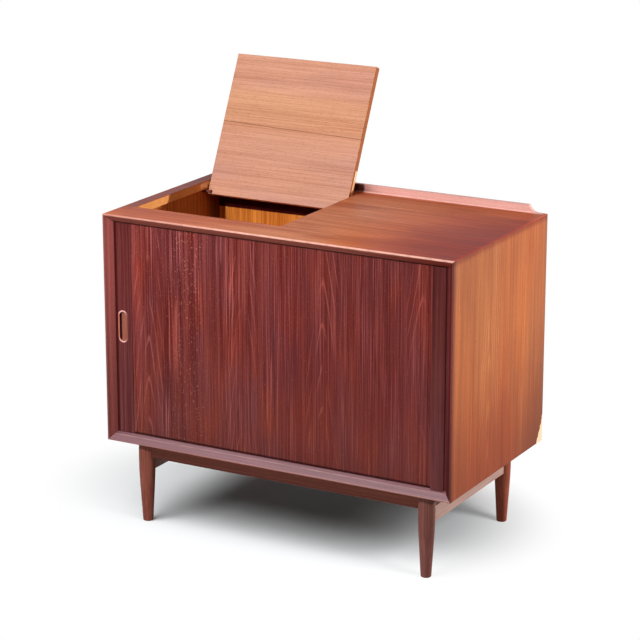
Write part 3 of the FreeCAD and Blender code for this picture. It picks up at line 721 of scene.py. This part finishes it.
def dulled(graph, base):
    """A stile's finish, greyer toward its foot."""
    base = graph.multiply_tone(1.0, base, (0.99, 1.05, 1.08))
    return graph.multiply_tone(graph.axes()[2].fall(0.30, 0.62), base, (1.03, 1.30, 1.42))


def leading_edge(graph, base):
    """The leading stile, with a painted shadow where its edge meets the case."""
    x = graph.axes()[0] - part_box("door_stile")[0].x
    # Painted shadow in the gap between the stile and the case.
    base = graph.blend(x.fall(0.0040, 0.0062) * 0.9, base, (0.055, 0.003, 0.004))
    return dulled(graph, base)


def quirk_wall(graph, base):
    """The fixed stile, with painted light on the wall of the groove along the case side."""
    x = graph.axes()[0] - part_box("fixed_stile")[1].x
    # Painted light on the groove's wall.
    base = graph.blend((x > -0.0048) * (x < -0.0042), base, (0.30, 0.055, 0.055))
    return dulled(graph, base)


def pull_finish(graph, base):
    """The pull: painted highlights on its rim, painted shade on the rim's right and in the recess.
    """
    low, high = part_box("door_pull")
    x, _, z = graph.axes()
    x, z = x - (low.x + high.x) / 2, z - (low.z + high.z) / 2
    rim = pull_rim(graph)
    # Painted shade along the recess's left wall and its head.
    painted_recess_shade = (x < -0.0074) + (z > 0.0325) > 0.5
    base = graph.blend(painted_recess_shade * (1.0 - rim) * 0.88, base, (0.0, 0.0, 0.0))
    # Painted shade on the right side of the rim.
    base = graph.blend(rim * x.ramp(0.004, 0.010) * 0.6, base, (0.03, 0.01, 0.01))
    # Painted highlights at the rim's top and bottom, in the lip's pale tone.
    painted_rim_highlights = z.size().ramp(0.026, 0.036) * (1.0 - x.ramp(0.002, 0.010) * 0.6)
    return graph.blend(painted_rim_highlights * rim * 0.8, base, bpy.context.scene.cabinet_colours.lip_pale)


def rest_place(graph):
    """Where a point of the curtain lies while the door is shut."""
    return graph.node("ShaderNodeAttribute", {"attribute_name": "rest_place"}, {}, "Vector")


def curtain_shade(graph, base):
    """The curtain: livelier with painted light at the upper left, calmer with painted shade below.
    """
    tones = bpy.context.scene.cabinet_colours
    x, _, z = graph.axes(rest_place(graph))
    calm = x.ramp(-0.35, 0.35) * 0.33 + z.fall(0.25, 0.62) * 0.33
    even = [(2.0 * a + 3.0 * b) / 5.0 for a, b in zip(tones.door_pale, tones.door_deep)]
    base = graph.blend(calm, base, even)
    # Painted shade deeper toward the foot, painted light at the upper left.
    base = graph.deepen(1.0, base, 0.84 + z.ramp(0.20, 0.30) * 0.16
                        + z.ramp(0.46, 0.74) * x.fall(-0.40, 0.25) * 0.28)
    base = graph.multiply_tone(z.fall(0.22, 0.50), base, (1.02, 1.26, 1.22))
    hue = graph.noise(graph.vector(x * 17.0 + 3.0, 4.0, z * 5.0), 1.0, 3.0)
    base = graph.multiply_tone(hue.ramp(0.48, 0.62) * 0.7, base, (1.16, 1.02, 0.84))
    base = graph.multiply_tone(0.7 - hue.ramp(0.36, 0.50) * 0.7, base, (0.87, 0.97, 1.10))
    rust = ((x + 0.0300).size().fall(0.010, 0.021) * (z - 0.335).size().fall(0.035, 0.075))
    base = graph.multiply_tone(rust * 0.7, base, (1.30, 1.10, 0.82))
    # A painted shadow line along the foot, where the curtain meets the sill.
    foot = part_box("tambour_slats")[0].z
    return graph.multiply_tone(z.fall(foot + 0.0080, foot + 0.0120), base, (0.25, 0.18, 0.2))


# -------------------- metal, cloth and studio
def worn_metal(name, tone, rough):
    """Plated metal with fine scratches and duller patches."""
    graph = Graph(name)
    x, y, z = graph.axes()
    scratches = graph.noise(graph.vector(x * 900.0, y * 60.0, z * 60.0), 4.0, 3.0)
    dull = graph.noise(graph.place, 130.0, 4.0)
    return graph.surface({
        "Metallic": 0.9,
        "Base Color": graph.blend(dull.ramp(0.35, 0.75), tone, scaled(tone, 0.72)),
        "Roughness": rough + (dull - 0.5) * 0.25 + (scratches - 0.5) * 0.1,
        "Normal": graph.bump(scratches, 0.00003)})


def canvas_material():
    """Plain woven cloth."""
    cloth = bpy.context.scene.cabinet_colours.cloth
    graph = Graph("Canvas")
    x, y, z = graph.axes(rest_place(graph))
    thread = 2.0 * math.pi / 0.0011
    weave = (x * thread).sine() * (z * thread).sine()
    slub = graph.noise(graph.vector(x, y, z), 240.0, 3.0)
    return graph.surface({
        "Roughness": 0.95,
        "Base Color": graph.blend((weave * 0.25 + slub).ramp(0.1, 1.0), scaled(cloth, 0.6), cloth),
        "Normal": graph.bump(weave + slub, 0.0001)})


def seen_directly(graph):
    """1 for what the camera, a gloss or a glass looks at."""
    camera, gloss, glass = (graph.node("ShaderNodeLightPath", {}, {}, name) for name in
                            ("Is Camera Ray", "Is Glossy Ray", "Is Transmission Ray"))
    return (camera + gloss + glass) > 0.5


def floor_material(tone):
    """Pale floor that keeps the shadow and shows plain white away from the object."""
    graph = Graph("Studio floor")
    x, y, _ = graph.axes()
    across, deep = (x + 0.12) / 0.64, (y - 0.03) / 0.47
    far = (across * across + deep * deep).root().ramp(0.60, 1.08)
    mottle = graph.noise(graph.place, 3.0, 2.0)
    shade = graph.blend(mottle, tone, scaled(tone, 0.985))
    seen = seen_directly(graph)
    shade = graph.blend(seen, (0.325, 0.325, 0.325), shade)
    surface = graph.node("ShaderNodeBsdfPrincipled", {},
                         {"Base Color": shade, "Roughness": 0.9, "Specular IOR Level": 0.1})
    white = graph.node("ShaderNodeEmission", {}, {"Color": WHITE})
    mixed = graph.node("ShaderNodeMixShader", {}, {0: far * seen, 1: surface, 2: white})
    graph.node("ShaderNodeOutputMaterial", {}, {"Surface": mixed}, None)
    return graph.material


def studio_world(strength):
    """Even surroundings, plain white where the camera, gloss or glass looks at them."""
    world = bpy.data.worlds.new("Studio")
    world.use_nodes = True
    graph = Graph(world)
    soft = graph.node("ShaderNodeBackground", {}, {"Color": WHITE, "Strength": strength})
    white = graph.node("ShaderNodeBackground", {}, {"Color": WHITE})
    mixed = graph.node("ShaderNodeMixShader", {}, {0: seen_directly(graph), 1: soft, 2: white})
    graph.node("ShaderNodeOutputWorld", {}, {"Surface": mixed}, None)
    return world


# -------------------- meshes
def new_object(name, data):
    """An object in the scene from a mesh, a lamp or a camera."""
    made = bpy.data.objects.new(name, data)
    bpy.context.scene.collection.objects.link(made)
    return made


def mesh_object(name, mesh):
    """An object from a bmesh, which is freed."""
    data = bpy.data.meshes.new(name)
    mesh.to_mesh(data)
    mesh.free()
    return new_object(name, data)


def track():
    """Where the curtain starts, and the centre of the track's turn."""
    sizes = bpy.context.scene.cabinet_sizes
    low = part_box("tambour_slats")[0]
    start = Vector((low.x, low.y + sizes.slat_thickness))
    turn = Vector((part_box("case_right_side")[0].x - TRACK_CLEAR - sizes.turn_radius,
                   start.y + sizes.turn_radius))
    return start, turn


def slat_frame(distance, start, turn):
    """Back-face centre of a slat and its heading, a distance along the track."""
    radius = bpy.context.scene.cabinet_sizes.turn_radius
    run = turn.x - start.x
    if distance <= run:
        return Vector((start.x + distance, start.y)), 0.0
    heading = min((distance - run) / radius, math.pi / 2)
    return (Vector((turn.x + radius * math.sin(heading), turn.y - radius * math.cos(heading))),
            heading)


def build_slats():
    """The tambour: one mesh, each slat a bar with eased front edges, without its tongues."""
    sizes = bpy.context.scene.cabinet_sizes
    start, turn = track()
    low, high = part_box("tambour_slats")
    half = (sizes.slat_pitch - sizes.slat_gap) / 2
    thick, ease = sizes.slat_thickness, sizes.slat_ease
    outline = [(-half, 0.0), (half, 0.0), (half, -thick + ease), (half - ease, -thick),
               (-half + ease, -thick), (-half, -thick + ease)]
    mesh = bmesh.new()
    rest = mesh.verts.layers.float_vector.new("rest_place")
    for i in range(SLAT_COUNT):
        centre, heading = slat_frame((i + 0.5) * sizes.slat_pitch, start, turn)
        fit = TURN_FIT if heading else 1.0
        c, s = math.cos(heading), math.sin(heading)
        rows = []
        for z in (low.z + TONGUE, high.z - TONGUE):
            row = []
            for u, v in outline:
                u *= fit
                vert = mesh.verts.new((centre.x + u * c - v * s, centre.y + u * s + v * c, z))
                vert[rest] = vert.co
                row.append(vert)
            rows.append(row)
        foot, head = rows
        for k in range(len(outline)):
            j = (k + 1) % len(outline)
            mesh.faces.new((foot[k], foot[j], head[j], head[k]))
        mesh.faces.new(foot[::-1])
        mesh.faces.new(head)
    bmesh.ops.recalc_face_normals(mesh, faces=mesh.faces)
    return mesh_object("tambour_curtain", mesh)


def build_cloth():
    """The canvas behind the slats, woven sheet bent round the turn."""
    start, turn = track()
    low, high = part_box("tambour_canvas")
    radius = bpy.context.scene.cabinet_sizes.turn_radius - CANVAS_GAP
    flat_steps, turn_steps = CANVAS_STEPS
    path = [(start.x + (turn.x - start.x) * i / flat_steps, start.y + CANVAS_GAP, 0.0)
            for i in range(flat_steps + 1)]
    for i in range(1, turn_steps + 1):
        heading = CANVAS_TURN * i / turn_steps
        path.append((turn.x + radius * math.sin(heading), turn.y - radius * math.cos(heading),
                     heading))
    mesh = bmesh.new()
    rest = mesh.verts.layers.float_vector.new("rest_place")
    columns = []
    for x, y, heading in path:
        inner = (x - CANVAS_THICK * math.sin(heading), y + CANVAS_THICK * math.cos(heading))
        column = []
        for px, py in ((x, y), inner):
            for z in (low.z, high.z):
                vert = mesh.verts.new((px, py, z))
                vert[rest] = vert.co
                column.append(vert)
        columns.append(column)
    for a, b in zip(columns, columns[1:]):
        for i, j in ((0, 1), (1, 3), (3, 2), (2, 0)):
            mesh.faces.new((a[i], a[j], b[j], b[i]))
    mesh.faces.new([columns[0][k] for k in (0, 1, 3, 2)])
    mesh.faces.new([columns[-1][k] for k in (0, 2, 3, 1)])
    bmesh.ops.recalc_face_normals(mesh, faces=mesh.faces)
    return mesh_object("tambour_cloth", mesh)


# -------------------- lamps
def area_light(name, direction, distance, size, energy, target):
    """A round lamp, this far from its target in this direction, that faces it."""
    data = bpy.data.lights.new(name, "AREA")
    data.shape = "DISK"
    data.size = size
    data.energy = energy
    direction = Vector(direction)
    lamp = new_object(name, data)
    lamp.location = target + direction.normalized() * distance
    lamp.rotation_mode = "QUATERNION"
    lamp.rotation_quaternion = (-direction).to_track_quat("-Z", "Y")
    return lamp


def aim_at(lamp, pieces, state):
    """Let a lamp light only these pieces (INCLUDE) or all but these pieces (EXCLUDE)."""
    group = bpy.data.collections.new(lamp.name + " reach")
    for i, piece in enumerate(pieces):
        group.objects.link(piece)
        group.collection_objects[i].light_linking.link_state = state
    lamp.light_linking.receiver_collection = group


# -------------------- operators
class CABINET_OT_case(bpy.types.Operator):
    """Veneer the case and the rear lip."""

    bl_idname = "cabinet.case"
    bl_label = "Dress the case"

    def execute(self, context):
        tones = context.scene.cabinet_colours
        inside = (inner_faces, *pair("inner"))
        zones = ((top_border, *pair("lipping")), (top_end, *pair("end")), inside,
                 (opening_edges, *pair("cut")), (front_edges, *pair("head")),
                 # The top's inner facets at a quarter of the head's tone: painted shade under its
                 # nose.
                 (inner_facets, *pair("head", 0.24)))
        dress(wood("Top veneer", pair("top"), "X", heart=-0.05, seed=3.1, figure=0.3,
                   arch=0.25, tint=0.4, fine=0.9, stripe=1.0, flush=0.10, hairs=0.4,
                   blotch=0.45, dash=(0.006, 0.0010, 0.45), specks=0.35, zones=zones,
                   patch=top_shade), "case_top")

        zones = (inside, (underside, tones.under, scaled(tones.under, 0.75)),
                 (front_edges, *pair("sill")))
        dress(wood("Bottom veneer", pair("top"), "X", heart=0.02, seed=8.4, figure=0.25,
                   arch=0.2, fine=0.9, stripe=0.8, zones=zones, patch=sill_ridge,
                   coat=front_edges), "case_bottom")

        both = ((rear_lipping, tones.strip, tones.side_deep),
                (side_inner_faces, *pair("inner", 0.7)))
        left = ((front_edges, *pair("lipping")),)
        # The right lipping at half the left's tone: painted shade on the right bevel.
        right = ((front_edges, *pair("lipping", 0.5)),
                 (bevel_band(0.0125, 1.0), *pair("door", 0.62)),
                 # A painted shadow line beside the bevel's ridge.
                 (bevel_band(0.0055, 0.0125), tones.seam, tones.seam))
        for name, zones, shade, node in (
                ("Left side veneer", both + left, left_side_shade, "case_left_side"),
                ("Right side veneer", both + right, right_side_shade, "case_right_side")):
            dress(wood(name, pair("side"), "Z_deep", heart=-0.10, seed=5.2, figure=0.30,
                       narrow=0.08, waver=0.5, tint=0.25, fine=0.45, stripe=1.1, flush=0.55,
                       hairs=0.25, mauve=0.35, blotch=0.25, dash=(0.010, 0.0012, 0.42),
                       zones=zones, patch=shade), node)

        dress(wood("Lip wood", pair("lip"), "X_up", seed=1.7, figure=0.2, arch=0.1,
                   patch=behind_lid), "rear_lip")
        dress(wood("Bare wood", pair("raw"), "Y", seed=2.2, rough=0.6), "mitre_splines",
              "lid_rest_cleat")
        dress(wood("Peg wood", pair("frame"), "X", seed=2.9, rough=0.5), "lid_stop_pegs")
        dress(wood("Back panel", pair("inner"), "Z", heart=-0.18, seed=6.5, figure=0.15,
                   tint=0.5, fine=0.9, stripe=1.4, patch=lining_shade), "back_panel")
        return {"FINISHED"}


class CABINET_OT_base(bpy.types.Operator):
    """Finish the legs and rails."""

    bl_idname = "cabinet.base"
    bl_label = "Dress the base"

    def execute(self, context):
        dress(wood("Leg wood", pair("frame"), "Z", heart=0.3, seed=4.4, figure=0.4, arch=0.1,
                   fine=0.8, blotch=0.35, patch=leg_tones), *LEGS)
        dress(wood("Long rail wood", pair("frame"), "X_up", heart=0.3, seed=4.9, figure=0.25,
                   arch=0.1), "front_rail", "rear_rail")
        dress(wood("Side rail wood", pair("rail"), "Y", heart=0.3, seed=5.9, figure=0.2,
                   arch=0.1, fine=0.8, blotch=0.5), "side_rail_left", "side_rail_right")
        return {"FINISHED"}


class CABINET_OT_lid(bpy.types.Operator):
    """Veneer the lid."""

    bl_idname = "cabinet.lid"
    bl_label = "Dress the lid"

    def execute(self, context):
        zones = ((lid_outside, *pair("top", 0.9)), (lid_ends, *pair("side")))
        dress(wood("Lid veneer", pair("lid"), "X_up", heart=0.5, seed=9.3, figure=0.10,
                   arch=0.1, tint=0.25, fine=0.8, stripe=0.5, flush=0.15, mauve=0.4,
                   dash=(0.009, 0.0009, 0.45),
                   streaks=((0.903, -0.012, 0.0011, 0.35), (0.8781, -0.0167, 0.0015, 0.6)),
                   zones=zones, patch=lid_bands), "lid_panel")
        return {"FINISHED"}


class CABINET_OT_inside(bpy.types.Operator):
    """Finish the panels inside the case."""

    bl_idname = "cabinet.inside"
    bl_label = "Dress the inside"

    def execute(self, context):
        for name, grain, heart, seed, nodes in (
                ("Inner upright", "Z_deep", 0.05, 7.7,
                 ("partition", "side_lining", "record_dividers")),
                ("Inner shelf", "X", -0.02, 7.1, ("turntable_deck", "record_shelf")),
                ("Inner back", "Z", 0.2, 7.4, ("back_lining",))):
            dress(wood(name, pair("inner"), grain, heart=heart, seed=seed, figure=0.3,
                       tint=0.4), *nodes)
        return {"FINISHED"}


class CABINET_OT_tambour(bpy.types.Operator):
    """Build the tambour curtain and finish its stiles and pull."""

    bl_idname = "cabinet.tambour"
    bl_label = "Build the tambour"

    def execute(self, context):
        slats = build_slats()
        leaves = ((None, -0.342), (-0.2215, -0.093), (-0.005, 0.119), (0.2006, 0.367))
        slats.data.materials.append(
            wood("Door veneer", pair("door"), "Z", seed=2.6, place=rest_place, leaves=leaves,
                 figure=0.55, arch=1.1, narrow=0.050, sharp=20.0, waver=0.25, spread=1.4,
                 tint=0.2, fine=0.9, stripe=1.4, flush=0.6, hairs=0.7, mauve=0.5, specks=0.8,
                 patch=curtain_shade))
        cloth = build_cloth()
        cloth.data.materials.append(canvas_material())
        for piece, node, slot in ((slats, "tambour_slats", "door_veneer"),
                                  (cloth, "tambour_canvas", "canvas")):
            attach(piece, "cabinet")
            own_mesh(piece)
            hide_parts(node)
        for node, share, shade in (("door_stile", 0.85, leading_edge),
                                   ("fixed_stile", 0.62, quirk_wall)):
            dress(wood(node.replace("_", " "), pair("door", share), "Z", heart=0.4, seed=3.9,
                       figure=0.2, arch=0.1, tint=0.35, fine=0.75, stripe=0.7, blotch=0.25,
                       patch=shade), node)
        pale = context.scene.cabinet_colours.pull_pale
        dress(wood("Pull wood", pair("pull"), "Z", heart=0.4, seed=6.1, figure=0.15, arch=0.1,
                   zones=((pull_rim, scaled(pale, 1.5), pale),), patch=pull_finish,
                   rough=0.35, coat=pull_rim), "door_pull")
        return {"FINISHED"}


class CABINET_OT_hardware(bpy.types.Operator):
    """Finish the hinges, pins and screws."""

    bl_idname = "cabinet.hardware"
    bl_label = "Dress the hardware"

    def execute(self, context):
        tones = context.scene.cabinet_colours
        dress(worn_metal("Hinge metal", tones.metal, 0.38), "lid_hinge_leaves",
              "case_hinge_leaves", "hinge_pins")
        dress(worn_metal("Screw steel", tones.screw, 0.32), "lid_hinge_screws",
              "case_hinge_screws", "back_screws", "base_screws")
        return {"FINISHED"}


class CABINET_OT_stage(bpy.types.Operator):
    """Set up floor, lights, surroundings and camera."""

    bl_idname = "cabinet.stage"
    bl_label = "Set the stage"

    def execute(self, context):
        scene = context.scene
        lights = scene.cabinet_lights
        floor = self.lay_floor(scene.cabinet_colours.floor)
        azimuth, height = lights.key_azimuth, lights.key_elevation
        toward = Vector((-math.sin(azimuth) * math.cos(height),
                         -math.cos(azimuth) * math.cos(height), math.sin(height)))
        key = area_light("key", toward, KEY_DISTANCE, KEY_SIZE, lights.key_power, MIDDLE)
        energy = {"side": lights.side_power, "overhead": lights.top_power,
                  "fill": lights.fill_power, "floor light": lights.floor_power,
                  "floor side light": lights.floor_side_power, "low light": lights.base_power}
        lamps = {name: area_light(name, direction, distance, size, energy[name], target)
                 for name, (direction, distance, size, target) in LAMPS.items()}
        aim_at(key, [floor, NODES["front_rail"]], "EXCLUDE")
        aim_at(lamps["side"], [floor], "EXCLUDE")
        aim_at(lamps["floor light"], [floor], "INCLUDE")
        aim_at(lamps["floor side light"], [floor], "INCLUDE")
        aim_at(lamps["low light"], [NODES[name] for name in BASE], "INCLUDE")
        scene.world = studio_world(lights.sky)
        scene.camera = self.place_camera()
        scene.view_settings.view_transform = "Standard"
        return {"FINISHED"}

    @staticmethod
    def lay_floor(tone):
        """A round floor under the cabinet."""
        mesh = bmesh.new()
        bmesh.ops.create_circle(mesh, cap_ends=True, radius=FLOOR_RADIUS, segments=96)
        floor = mesh_object("studio_floor", mesh)
        floor.data.materials.append(floor_material(tone))
        return floor

    @staticmethod
    def place_camera():
        """A camera at the front right, a little above the cabinet."""
        data = bpy.data.cameras.new("camera")
        data.sensor_width = SENSOR
        data.lens = LENS
        camera = new_object("camera", data)
        camera.location = EYE
        look = Vector((-math.sin(EYE_YAW) * math.cos(EYE_PITCH),
                       math.cos(EYE_YAW) * math.cos(EYE_PITCH), -math.sin(EYE_PITCH)))
        camera.rotation_mode = "QUATERNION"
        camera.rotation_quaternion = look.to_track_quat("-Z", "Y")
        return camera


STEPS = (CABINET_OT_case, CABINET_OT_base, CABINET_OT_lid, CABINET_OT_inside,
         CABINET_OT_tambour, CABINET_OT_hardware, CABINET_OT_stage)


class CABINET_PT_panel(bpy.types.Panel):
    """Buttons for each step."""

    bl_idname = "CABINET_PT_panel"
    bl_label = "Record cabinet"
    bl_space_type = "VIEW_3D"
    bl_region_type = "UI"
    bl_category = "Cabinet"

    def draw(self, context):
        for step in STEPS:
            self.layout.operator(step.bl_idname)


CLASSES = (CabinetColours, CabinetSizes, CabinetLights, *STEPS, CABINET_PT_panel)


def register():
    for cls in CLASSES:
        bpy.utils.register_class(cls)
    bpy.types.Scene.cabinet_colours = PointerProperty(type=CabinetColours)
    bpy.types.Scene.cabinet_sizes = PointerProperty(type=CabinetSizes)
    bpy.types.Scene.cabinet_lights = PointerProperty(type=CabinetLights)


def unregister():
    del bpy.types.Scene.cabinet_lights
    del bpy.types.Scene.cabinet_sizes
    del bpy.types.Scene.cabinet_colours
    for cls in reversed(CLASSES):
        bpy.utils.unregister_class(cls)


def main():
    register()
    for step in STEPS:
        group, name = step.bl_idname.split(".")
        getattr(getattr(bpy.ops, group), name)()


if __name__ == "__main__":
    main()
